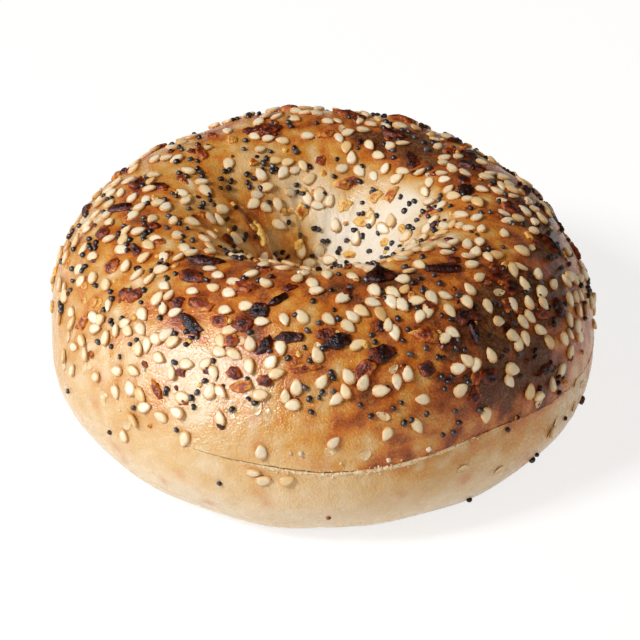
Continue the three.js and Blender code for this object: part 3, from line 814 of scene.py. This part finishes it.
def coverAt(turn, around):
    lowest = cover["lowest"] + sum(high * bell(turn, middle, wide) for middle, wide, high in cover["regions"])
    fromBelow = ramp(around, lowest - cover["below"], lowest + cover["above"])
    return fromBelow * (1 - ramp(around, cover["holeStart"], cover["holeEnd"]))


def scatter(count, spacing, draw, accept, drawPiece, taken):
    kept = []
    while len(kept) < count:
        turn = 360 * next(draw) - 180
        around = cover["throwFrom"] + (cover["throwTo"] - cover["throwFrom"]) * next(draw)
        piece = {"turn": turn, "around": around, **drawPiece()}
        point = crustAt(turn, around)
        wanted = next(draw) < accept(turn, around) * (math.hypot(point[0], point[1]) / ring["outer"])
        if wanted and all(np.dot(other - point, other - point) > spacing ** 2 for other in taken):
            taken.append(point)
            kept.append(piece)
    return kept


def drawFlakes():
    front = [
        {"turn": turn, "around": around, "size": (length, width, flakes["thick"]), "spin": spin, "tone": tone}
        for turn, around, length, width, spin, tone in flakes["front"]]
    taken = [crustAt(flake["turn"], flake["around"]) for flake in front]
    draw = drawsFrom(11)
    (short, long), (narrow, wide) = flakes["length"], flakes["width"]

    def one():
        return {
            "size": (
                short + (long - short) * next(draw), narrow + (wide - narrow) * next(draw), flakes["thick"]),
            "spin": 180 * next(draw)}

    def rear(turn, around):
        return coverAt(turn, around) * ramp(abs(turn), flakes["rearStart"], flakes["rearFull"])

    behind = scatter(flakes["rear"], flakes["spacing"], draw, rear, one, taken)
    rng = random.Random(3)
    for flake in behind:
        flake["tone"] = rng.choice(flakes["tones"])
    small = [
        {
            "turn": turn, "around": around, "spin": spin, "tone": tone,
            "size": (length, width, flakes["smallThick"])}
        for turn, around, length, width, spin, tone in flakes["small"]]
    places = placesSeen([row[:2] for row in flakes["seen"]])
    for (turn, around), (x, y, length, width, angle, tone) in zip(places, flakes["seen"]):
        size = (length, width, flakes["smallThick"])
        small.append({
            "turn": turn, "around": around, "size": size, "tone": tone,
            "spin": spinSeen(turn, around, angle)})
    for i, flake in enumerate(front + behind + small):
        flake["lean"] = [rng.uniform(-most, most) for most in flakes["lean"]]
        flake["lift"] = flake["size"][2] * flakes["lift"]
        flake["start"] = 3.7 * i + 2
    return front + behind, small, taken


def drawSesame(taken):
    draw = drawsFrom(23)

    def one():
        length = sesame["length"] * (1 + sesame["vary"] * (next(draw) - 0.5))
        return {"size": (length, length * sesame["wide"], length * sesame["thick"]), "spin": 360 * next(draw)}

    seeds = scatter(sesame["solidCount"], sesame["solidSpacing"], draw, coverAt, one, taken)
    rng = random.Random(4)
    seen = []
    places = placesSeen([(x, y) for x, y, angle in sesame["seen"]])
    for (turn, around), (x, y, angle) in zip(places, sesame["seen"]):
        point = crustAt(turn, around)
        if all(np.linalg.norm(other - point) > sesame["spacing"] for other in taken):
            taken.append(point)
            near = sesame["far"] + (1 - sesame["far"]) * float(ramp(y, *sesame["farRows"]))
            length = sesame["length"] * rng.uniform(*sesame["varySeen"]) * near
            size = (length, length * sesame["wide"], length * sesame["thick"])
            seen.append({"turn": turn, "around": around, "size": size, "spin": spinSeen(turn, around, angle)})
    print("sesame seeds placed as seen", len(seen))
    more = sesame["count"] - len(seeds) - len(seen)

    def behind(turn, around):
        return coverAt(turn, around) * unseen(turn, around)

    extra = seen + scatter(more, sesame["spacing"], draw, behind, one, taken)
    for seed in seeds + extra:
        seed["shape"] = rng.randrange(len(sesame["shapes"]))
        seed["tone"] = min(1, abs(rng.gauss(0, sesame["toneSpread"])))
        seed["lean"] = [rng.gauss(0, most) for most in sesame["lean"]]
        seed["lift"] = seed["size"][2] * sesame["lift"]
    for seed in extra:                 # these may lie over a neighbour
        seed["lift"] += rng.uniform(0, sesame["over"])
        seed["lean"] = [rng.gauss(0, most) for most in sesame["leanExtra"]]
    return seeds + extra


def sesameShape(sharp, plump, bow):    # a flat drop
    def reshape(points):
        x = points[:, 0].copy()
        points[:, 1] *= (1 - 2 * sesame["taper"] * x) * (1 - sharp * ramp(x, 0.1, 0.5)) * plump
        points[:, 1] += bow * (0.25 - x ** 2) * 2
        flat = np.sign(points[:, 2]) * np.abs(2 * points[:, 2]) ** sesame["flatTop"] / 2
        points[:, 2] = flat * (1 - 0.25 * x)

    return ballShape(sesame["segments"], sesame["rings"], reshape)


poppy = {
    "size": 1.12, "vary": 0.16, "count": 640, "spacing": 0.95, "segments": 9, "rings": 6,
    "dents": (0.16, 0.3), "throw": (-34, 186), "stray": 0.008,
    "groups": (1, 1, 1, 2, 2, 3, 4, 6), "driftTurn": 90, "driftAround": 3.6,
    "dark": (screen(34, 15, 8), screen(52, 35, 28), screen(88, 84, 86)),
    "seen": (                          # pixels in the photo
        (270, 351), (288, 357), (305, 348), (310, 361), (324, 349), (372, 336), (403, 341), (426, 348),
        (247, 379), (236, 376), (248, 399), (255, 401), (232, 409), (296, 400), (306, 387), (310, 399),
        (322, 392), (320, 398), (333, 392), (331, 373), (333, 378), (312, 412), (361, 405), (370, 415),
        (387, 387), (392, 408), (400, 403), (404, 423), (411, 419), (407, 330), (464, 350), (455, 348),
        (501, 357), (507, 351), (520, 354), (535, 350), (535, 357), (542, 368), (547, 367), (553, 369),
        (520, 377), (539, 388), (452, 376), (448, 381), (441, 377), (444, 389), (465, 378), (469, 382),
        (455, 411), (480, 410), (459, 423), (443, 435), (453, 433), (425, 413), (517, 417), (508, 429),
        (564, 419), (536, 454), (531, 459), (469, 499), (437, 357), (443, 357), (220, 483), (142, 303),
        (161, 318), (123, 319), (137, 340), (131, 344), (176, 334), (187, 332), (192, 337), (197, 338),
        (186, 344), (175, 362), (214, 361), (205, 381), (168, 388), (167, 393), (135, 407), (178, 429),
        (250, 332), (296, 317), (121, 357), (290, 119), (317, 124), (272, 124), (348, 118), (246, 142),
        (244, 150), (200, 139), (198, 146), (182, 151), (191, 161), (197, 162), (197, 169), (201, 173),
        (202, 177), (224, 172), (229, 171), (246, 175), (247, 183), (250, 187), (265, 159), (264, 164),
        (262, 170), (271, 167), (271, 172), (276, 170), (271, 152), (294, 149), (296, 153), (296, 185),
        (297, 192), (303, 194), (306, 207), (334, 176), (324, 194), (338, 160), (362, 167), (358, 149),
        (360, 182), (363, 202), (220, 189), (228, 189), (209, 196), (209, 201), (203, 204), (201, 208),
        (214, 206), (188, 209), (173, 194), (176, 197), (165, 201), (235, 208), (260, 189), (268, 202),
        (244, 235), (243, 240), (255, 237), (276, 254), (288, 222), (299, 235), (314, 228), (320, 229),
        (328, 240), (347, 240), (355, 229), (359, 214), (364, 214), (378, 216), (371, 226), (365, 236),
        (379, 233), (400, 197), (406, 212), (410, 228), (414, 229), (415, 202), (410, 204), (430, 169),
        (393, 151), (394, 158), (384, 145), (399, 140), (403, 137), (414, 138), (424, 144), (433, 144),
        (427, 151), (436, 209), (441, 196), (451, 207), (464, 195), (481, 202), (471, 209), (440, 224),
        (418, 221), (422, 242), (423, 258), (401, 248), (394, 244), (389, 250), (370, 252), (360, 264),
        (347, 263), (347, 267), (341, 266), (317, 282), (258, 281), (244, 279), (274, 285), (271, 278),
        (271, 273), (289, 272), (224, 252), (227, 254), (233, 248), (240, 254), (240, 260), (234, 253),
        (193, 251), (182, 238), (152, 272), (167, 279), (176, 274), (146, 224), (150, 232), (169, 217),
        (174, 219), (180, 225), (187, 230), (386, 123), (391, 125), (383, 129), (402, 131), (409, 133),
        (453, 150), (470, 163), (476, 167), (505, 195), (499, 202), (308, 278), (331, 291), (312, 302),
        (336, 264), (339, 275), (350, 289), (355, 293), (350, 298), (365, 281), (382, 293), (385, 300),
        (410, 306), (416, 308), (377, 266), (384, 258), (389, 260), (405, 268), (434, 276), (412, 284),
        (420, 280), (422, 289), (422, 293), (427, 292), (440, 284), (458, 296), (442, 316), (450, 320),
        (399, 319), (333, 310), (338, 319), (319, 323), (308, 330), (375, 343), (458, 340), (410, 355),
        (454, 250), (489, 283), (475, 308), (489, 335), (90, 240), (75, 249), (90, 246), (92, 249),
        (96, 244), (97, 248), (84, 255), (120, 235), (119, 241), (131, 241), (127, 245), (128, 251),
        (134, 247), (143, 238), (145, 241), (182, 243), (193, 242), (196, 259), (163, 261), (160, 266),
        (167, 266), (200, 276), (207, 282), (73, 269), (86, 267), (83, 271), (74, 281), (96, 286),
        (71, 290), (112, 293), (113, 299), (105, 310), (131, 291), (145, 291), (61, 303), (63, 306),
        (161, 306), (112, 321), (114, 325), (99, 342), (112, 346), (69, 391), (491, 185), (494, 183),
        (460, 192), (468, 192), (476, 199), (481, 214), (490, 213), (512, 224), (522, 225), (517, 201),
        (525, 189), (520, 185), (528, 192), (536, 205), (538, 226), (548, 225), (548, 234), (540, 236),
        (556, 245), (560, 231), (548, 258), (556, 257), (550, 256), (570, 255), (568, 264), (561, 269),
        (503, 248), (488, 250), (502, 269), (529, 276), (503, 277), (528, 284), (525, 293), (528, 291),
        (540, 283), (538, 296), (554, 306), (564, 304), (548, 308), (493, 303), (500, 305), (510, 313),
        (502, 314), (514, 323), (553, 319), (554, 325), (584, 318), (584, 303), (570, 328), (180, 148),
        (172, 145), (177, 163), (147, 178), (139, 185), (143, 187), (163, 186), (148, 205), (131, 213),
        (144, 219), (124, 228), (167, 229), (105, 213), (88, 215), (108, 200), (112, 199), (105, 197),
        (80, 226),
    ),
}


def drawPoppy(seedPoints):
    rng = random.Random(12)
    seeds, taken = [], np.array(seedPoints)
    seen = placesSeen(poppy["seen"])
    while len(seeds) < poppy["count"]:
        placed = bool(seen)
        turn, around = seen.pop() if placed else (rng.uniform(-180, 180), rng.uniform(*poppy["throw"]))
        many = 1 if placed else rng.choice(poppy["groups"])
        point = crustAt(turn, around)
        chance = (poppy["stray"] + coverAt(turn, around)) * math.hypot(point[0], point[1]) / ring["outer"]
        if not placed and rng.random() > chance * unseen(turn, around):
            continue
        for i in range(many):
            drift = poppy["driftTurn"] / max(math.hypot(point[0], point[1]), 12)
            t = turn + (0 if i == 0 else rng.gauss(0, drift))
            a = around + (0 if i == 0 else rng.gauss(0, poppy["driftAround"]))
            at = crustAt(t, a)
            if np.min(np.linalg.norm(taken - at, axis=1)) < poppy["spacing"]:
                continue
            taken = np.vstack([taken, at])
            size = poppy["size"] * (1 + poppy["vary"] * rng.uniform(-1, 1))
            seeds.append({
                "turn": t, "around": a, "size": (size * 1.12, size, size * 0.9), "spin": rng.uniform(0, 360),
                "tone": rng.random(), "shape": rng.randrange(2), "lift": size * 0.25,
                "lean": leanBy(rng, 0.3)})
    return seeds


def poppyShape(dent):                  # a kidney's dent on one side
    def reshape(points):
        away = np.linalg.norm(points[:, :2] - np.array([0.0, 0.5]), axis=1)
        points[:, 1] -= dent * np.exp(-((away / 0.28) ** 2))

    return ballShape(poppy["segments"], poppy["rings"], reshape)


def slabShape():                       # a plain slab with enough faces to be torn and wrinkled
    deselectAll()
    bpy.ops.mesh.primitive_cube_add(size=1)
    editAll()
    bpy.ops.mesh.subdivide(number_cuts=flakes["cuts"])
    bpy.ops.object.mode_set(mode="OBJECT")
    return shapeOf(bpy.context.object)


def tornFlake(slab, size, start):      # angular outline, thin edge, ridged and pitted top
    rng = random.Random(start)
    x, y, z = slab.T
    reach = 2 * np.maximum(np.abs(x), np.abs(y))
    angle = np.arctan2(y, x)
    way = np.stack([np.cos(angle), np.sin(angle), np.full(len(x), start)], -1)
    sides = rng.randint(*flakes["sides"])
    rim = np.full(len(x), 1.4)
    for i in range(sides):             # broken off along straight lines
        facing = math.pi * 2 * (i + rng.uniform(-0.3, 0.3)) / sides
        rim = np.minimum(rim, rng.uniform(*flakes["corner"]) / np.maximum(np.cos(angle - facing), 0.2))
    rim = rim * (1 + 0.14 * noiseAt(way, 0.5, start) + 0.1 * noiseAt(way, 0.2, start + 7))
    form = np.stack([reach * rim * way[:, 0] * size[0] / 2, reach * rim * way[:, 1] * size[1] / 2, z], -1)
    flat = form * (1, 1, 0)
    ridges = 0.5 - 2 * np.abs(noiseAt(flat * (0.4, 1, 1), 0.9, start))
    pits = noiseAt(flat, 0.5, start + 3)
    warp = noiseAt(flat, 2.2, start + 5)
    high = size[2] * (1 - 0.65 * np.clip(reach, 0, 1) ** 3)
    rough = flakes["ridges"] * ridges + flakes["pits"] * pits + flakes["warp"] * warp
    form[:, 2] = z * high + np.where(z > -0.4, rough, 0)
    form[:, 2] += 0.09 * math.sin(start * 5) * (form[:, 1] ** 2 - 1)
    form[:, 2] += 0.03 * math.sin(start * 3) * (form[:, 0] ** 2 - 3)
    return form


# granules of onion and garlic, on the crown and, paler, in the hole
granules = {
    "count": 240, "size": (0.7, 1.9), "throw": (-30, 186), "kinds": 4, "holeFrom": 120,
    "tones": (0.1, 0.2, 0.35, 0.45, 0.55, 0.7, 0.9, 1.0), "holeTones": (0.75, 1.0),
}


def drawGranules():
    rng = random.Random(21)
    pieces = []
    while len(pieces) < granules["count"]:
        turn, around = rng.uniform(-180, 180), rng.uniform(*granules["throw"])
        point = crustAt(turn, around)
        chance = 0.05 + coverAt(turn, around) + 0.12 * ramp(around, 118, 135) * (1 - ramp(around, 150, 180))
        if rng.random() > chance * math.hypot(point[0], point[1]) / ring["outer"]:
            continue
        size = rng.triangular(*granules["size"], granules["size"][0])
        inHole = around > granules["holeFrom"]
        pieces.append({
            "turn": turn, "around": around,
            "size": (size * 1.3, size, size * 0.7), "spin": rng.uniform(0, 360),
            "tone": rng.uniform(*granules["holeTones"]) if inHole else rng.choice(granules["tones"]),
            "shape": rng.randrange(granules["kinds"]), "lift": size * 0.12, "lean": leanBy(rng, 0.2)})
    return pieces


def granuleShape(kind):
    deselectAll()
    bpy.ops.mesh.primitive_ico_sphere_add(subdivisions=2, radius=0.5)
    editAll()
    bpy.ops.transform.vertex_random(offset=0.13, seed=kind)
    bpy.ops.object.mode_set(mode="OBJECT")
    return shapeOf(bpy.context.object)


# pale scraps of seed hull that lie almost flat on the skin, and salt
hulls = {
    "size": (2.8, 1.7, 0.3), "vary": (0.75, 1.1), "count": 44, "around": (-24, 100, 20),
    "segments": 12, "rings": 8, "bends": (0.25, 0.5),
    "seen": (                          # turn, around, spin
        (-13, 29, 70), (-11, 27, 80), (-60, 16, 60), (-52, 12, 20), (-70, 20, 100), (-44, 6, 50),
        (2, 14, 0), (9, 12, 40), (57, -4, 60), (55, -9, 40), (30, -2, 10), (66, -8, 80), (40, -14, 20),
    ),
    "salt": ((13.5, 9, 10), (4, 9.5, 50), (-4, 13, 30), (-6, 13, 70), (22, 10, 20)), "saltSize": 0.9,
    "saltMore": 24, "saltEdges": (0.12, 0.2),
}


def drawHulls():
    rng = random.Random(31)
    places = list(hulls["seen"])
    while len(places) < hulls["count"]:
        places.append((rng.uniform(-180, 180), rng.triangular(*hulls["around"]), rng.uniform(0, 360)))
    return [{
        "turn": turn, "around": around, "spin": spin, "shape": rng.randrange(2), "tone": rng.random(),
        "size": [s * rng.uniform(*hulls["vary"]) for s in hulls["size"]], "lift": 0.02,
        "lean": (0, rng.gauss(0, 0.04)),
    } for turn, around, spin in places]


def drawSalt():
    rng = random.Random(32)
    places = list(hulls["salt"])
    for i in range(hulls["saltMore"]):
        places.append((rng.uniform(-180, 180), rng.uniform(10, 120), rng.uniform(0, 90)))
    pieces = []
    for turn, around, spin in places:
        size = hulls["saltSize"] * rng.uniform(0.35, 1)
        pieces.append({
            "turn": turn, "around": around, "spin": spin, "shape": rng.randrange(2), "tone": rng.random(),
            "size": (size, size * rng.uniform(0.7, 1), size * 0.8), "lift": size * 0.2,
            "lean": leanBy(rng, 0.3)})
    return pieces


def hullShape(bend):                   # a cupped half of a seed coat
    def reshape(points):
        points[:, 1] *= 1 - 0.6 * points[:, 0]
        edge = np.hypot(points[:, 0], points[:, 1]) * 2
        points[:, 2] = points[:, 2] * 0.4 + bend * (edge ** 3 - 0.3)
        points[:, 2] += 0.9 * noiseAt(points, 0.4, 4.0 + bend)

    return ballShape(hulls["segments"], hulls["rings"], reshape)


def saltShape(wide):
    deselectAll()
    bpy.ops.mesh.primitive_cube_add(size=1)
    editAll()
    bpy.ops.mesh.bevel(offset=wide, segments=1)
    bpy.ops.transform.vertex_random(offset=0.05, seed=int(100 * wide))
    bpy.ops.object.mode_set(mode="OBJECT")
    return shapeOf(bpy.context.object)


# materials
def makeCrustFinish():                 # the pale skin is smooth and dull, the baked skin grainy and glossy
    f = Finish("crust")
    bakeAndShade = f.attribute("crustColour", "Color")
    bakeAndShadeLevel = f.attribute("bakeAndShadeLevel")
    fine = f.noise(0.45, 3.0, 0.65)
    wide = f.noise(2.6, 3.0, 0.6)
    pale = f.mix(0.2, bakeAndShade, screen(255, 220, 150))
    dark = f.mix(0.32, bakeAndShade, screen(140, 54, 5))
    grain = f.mix(f.range(fine, 0.36, 0.64, 0.0, 1.0), dark, pale)
    show = f.maths("MULTIPLY", f.range(bakeAndShadeLevel, 0.1, 0.45, 0.1, 1.0), f.range(wide, 0.35, 0.65, 0.4, 1.0))
    colour = f.mix(show, bakeAndShade, grain)
    normal = f.bump(f.noise(0.4, 3.0, 0.55), 0.19, f.bump(f.noise(1.5, 2.0, 0.55), 0.2))
    shine = f.maths("MULTIPLY", f.range(bakeAndShadeLevel, 0.05, 0.25, 0.1, 0.5), f.range(bakeAndShadeLevel, 0.5, 0.95, 1.0, 0.4))
    f.link(shine, f.shader.inputs["Specular IOR Level"])
    return f.finish(colour, f.range(wide, 0.3, 0.7, 0.19, 0.32), normal)


def makeCrumbFinish():
    f = Finish("crumb")
    colour = f.ramp(f.noise(0.8, 3.0, 0.6), (
        (0.32, screen(214, 160, 96)), (0.46, screen(244, 211, 158)), (0.66, screen(255, 238, 204))))
    return f.finish(colour, 0.7, f.bump(f.noise(0.35, 3.0, 0.6), 0.25))


def makeSesameFinish():
    f = Finish("sesame")
    tone = f.attribute("tone")
    body = f.ramp(tone, ((0.0, sesame["ivory"][0]), (0.5, sesame["ivory"][1]), (1.0, sesame["ivory"][2])))
    spots = f.range(f.noise(0.8, 2.0, 0.5), 0.45, 0.75, 0.0, 0.25)
    body = f.mix(spots, body, sesame["ivory"][2])
    # golden edge round each seed, partly its own colour and partly painted shade at the thin edge
    colour = f.mix(f.range(f.attribute("rim"), 0.62, 1.0, 0.0, 0.9), body, sesame["rim"])
    f.shader.inputs["Specular IOR Level"].default_value = 0.3
    return f.finish(colour, 0.45, f.bump(f.noise(0.5, 2.0, 0.5), 0.06))


def makePoppyFinish():
    f = Finish("poppy")
    stops = [(place, colour) for place, colour in zip((0.2, 0.7, 1.0), poppy["dark"])]
    body = f.ramp(f.attribute("tone"), stops)
    dust = f.range(f.noise(0.22, 2.0, 0.5), 0.45, 0.75, 0.0, 0.2)
    return f.finish(f.mix(dust, body, screen(118, 110, 110)), 0.42, f.bump(f.noise(0.16, 1.0, 0.5), 0.05))


def makeFlakeFinish(name, stops, grain):     # darker in the middle, amber where it is thin
    f = Finish(name)
    speckle = f.range(f.noise(grain, 3.0, 0.6), 0.34, 0.66, -0.2, 0.2)
    thin = f.range(f.attribute("rim"), 0.5, 1.0, 0.0, 0.22)
    tone = f.maths("ADD", f.maths("ADD", f.attribute("tone"), speckle), thin)
    normal = f.bump(f.noise(0.3, 3.0, 0.6), 0.2, f.bump(f.noise(1.0, 2.0, 0.6), 0.5))
    f.shader.inputs["Specular IOR Level"].default_value = 0.3
    return f.finish(f.ramp(tone, stops), f.range(f.noise(0.5, 2.0, 0.5), 0.35, 0.65, 0.22, 0.5), normal)


bits = (                               # from burnt to amber
    (0.0, screen(28, 9, 3)), (0.16, screen(52, 17, 5)), (0.34, screen(92, 32, 9)),
    (0.52, screen(142, 56, 18)), (0.7, screen(198, 98, 32)), (0.85, screen(236, 158, 60)),
    (1.0, screen(252, 204, 112)),
)


def makePlainFinish(name, colour, other, roughness, size, deep):
    f = Finish(name)
    mixed = f.mix(f.range(f.noise(size, 2.0, 0.5), 0.35, 0.65, 0.0, 1.0), colour, other)
    return f.finish(mixed, roughness, f.bump(f.noise(size * 0.5, 2.0, 0.5), deep))


# everything in its place
crumbFinish = makeCrumbFinish()
flakePieces, smallFlakes, taken = drawFlakes()
flakePieces = flakePieces + smallFlakes
sesamePieces = drawSesame(taken)
seedPoints = [crustAt(seed["turn"], seed["around"]) for seed in sesamePieces]
poppyPieces = drawPoppy(seedPoints + [crustAt(flake["turn"], flake["around"]) for flake in smallFlakes])

crustFinish = makeCrustFinish()
crust = makeCrust(crustFinish, crumbFinish, flakePieces, sesamePieces + poppyPieces)
lip = makeLip("tornCrumb", crumbFinish)
shut = makeLip("shutSkin", crustFinish)
print("crust and cut made")

chips = [granuleShape(kind + 1) for kind in range(granules["kinds"])]
grains = [saltShape(wide) for wide in hulls["saltEdges"]]
scraps = [hullShape(bend) for bend in hulls["bends"]]
slab = slabShape()
for flake in flakePieces:
    flake["shape"] = 0
    flake["form"] = tornFlake(slab["points"], flake["size"], flake["start"])

onionFinish = makeFlakeFinish("onion", bits, 1.5)
garlicFinish = makeFlakeFinish("garlic", bits, 0.6)
hullFinish = makePlainFinish("hull", screen(248, 224, 182), screen(232, 194, 134), 0.36, 0.7, 0.08)
saltFinish = makePlainFinish("salt", screen(242, 230, 208), screen(224, 202, 170), 0.2, 0.5, 0.03)
sesameShapes = [sesameShape(*shape) for shape in sesame["shapes"]]
poppyShapes = [poppyShape(dent) for dent in poppy["dents"]]
toppings = (
    (stack("sesameSeeds", sesameShapes, sesamePieces, makeSesameFinish()), "sesame_seed"),
    (stack("poppySeeds", poppyShapes, poppyPieces, makePoppyFinish()), "poppy_seed"),
    (stack("onionFlakes", [slab], flakePieces, onionFinish), "onion_flake"),
    (stack("granules", chips, drawGranules(), garlicFinish), "garlic_flake"),
    (stack("seedHulls", scraps, drawHulls(), hullFinish), "sesame_seed"),
    (stack("crumbs", chips, drawCrumbs(), crumbFinish), "crumb"),
    (stack("saltGrains", grains, drawSalt(), saltFinish), "salt"),
)

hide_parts("bagel")
for piece in (crust, lip, shut):
    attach(piece, "root")
for piece, slot in toppings:
    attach(piece, "root")


# studio: a pale floor, one soft window from the left and dim light all round
studio = {
    "key": (-0.64, -0.36, 0.673), "keyAway": 1.3, "keySize": 0.3, "keyPower": 12.6,
    "gloss": (-0.80, -0.44, 0.36), "glossSize": 0.24, "glossPower": 48.0, "glossColour": (0.86, 0.96, 1.12),
    "surround": 0.28, "surroundColour": (1.0, 0.86, 0.71),
    "floor": screen(160, 160, 160), "floorGlow": 0.76, "floorSize": 4.0,
    "card": screen(248, 242, 234), "cardGlow": 0.04, "cardDown": 0.0005,
}


def makePlane(name, height, colour, glow):
    deselectAll()
    bpy.ops.mesh.primitive_plane_add(size=studio["floorSize"], location=(0, 0, 0))
    bpy.ops.transform.translate(value=(0, 0, height))
    bpy.ops.object.transform_apply(location=True)
    plane = bpy.context.object
    plane.name = name
    f = Finish(name)
    f.shader.inputs["Base Color"].default_value = rgba(colour)
    f.shader.inputs["Emission Color"].default_value = (1, 1, 1, 1)
    f.shader.inputs["Emission Strength"].default_value = glow
    f.shader.inputs["Roughness"].default_value = 0.9
    f.shader.inputs["Specular IOR Level"].default_value = 0.0
    plane.data.materials.append(f.material)
    return plane


def makeFloor():                       # the floor is what is seen, the card under it sends light up
    floor = makePlane("floor", 0, studio["floor"], studio["floorGlow"])
    floor.visible_diffuse = False
    floor.visible_shadow = False
    card = makePlane("bounceCard", -studio["cardDown"], studio["card"], studio["cardGlow"])
    card.visible_camera = False
    card.visible_glossy = False


def makeLamp(name, way, size, power):
    aim = Vector((0, 0, 0.02))
    place = aim + Vector(way).normalized() * studio["keyAway"]
    bpy.ops.object.light_add(type="AREA", location=place)
    lamp = bpy.context.object
    lamp.name = name
    lamp.rotation_euler = (aim - place).to_track_quat("-Z", "Y").to_euler()
    lamp.data.size = size
    lamp.data.energy = power
    return lamp


def makeLight():
    window = makeLamp("windowLight", studio["key"], studio["keySize"], studio["keyPower"])
    window.visible_glossy = False
    gloss = makeLamp("glossLight", studio["gloss"], studio["glossSize"], studio["glossPower"])
    gloss.data.color = studio["glossColour"]
    gloss.visible_diffuse = False      # only the shine on the front left shoulder
    world = bpy.context.scene.world or bpy.data.worlds.new("studio")
    bpy.context.scene.world = world
    world.use_nodes = True
    world.cycles_visibility.glossy = False
    background = world.node_tree.nodes["Background"]
    background.inputs["Color"].default_value = rgba(studio["surroundColour"])
    background.inputs["Strength"].default_value = studio["surround"]
    bpy.context.scene.view_settings.view_transform = "Standard"


makeFloor()
makeLight()
print("light and floor in place")

deselectAll()
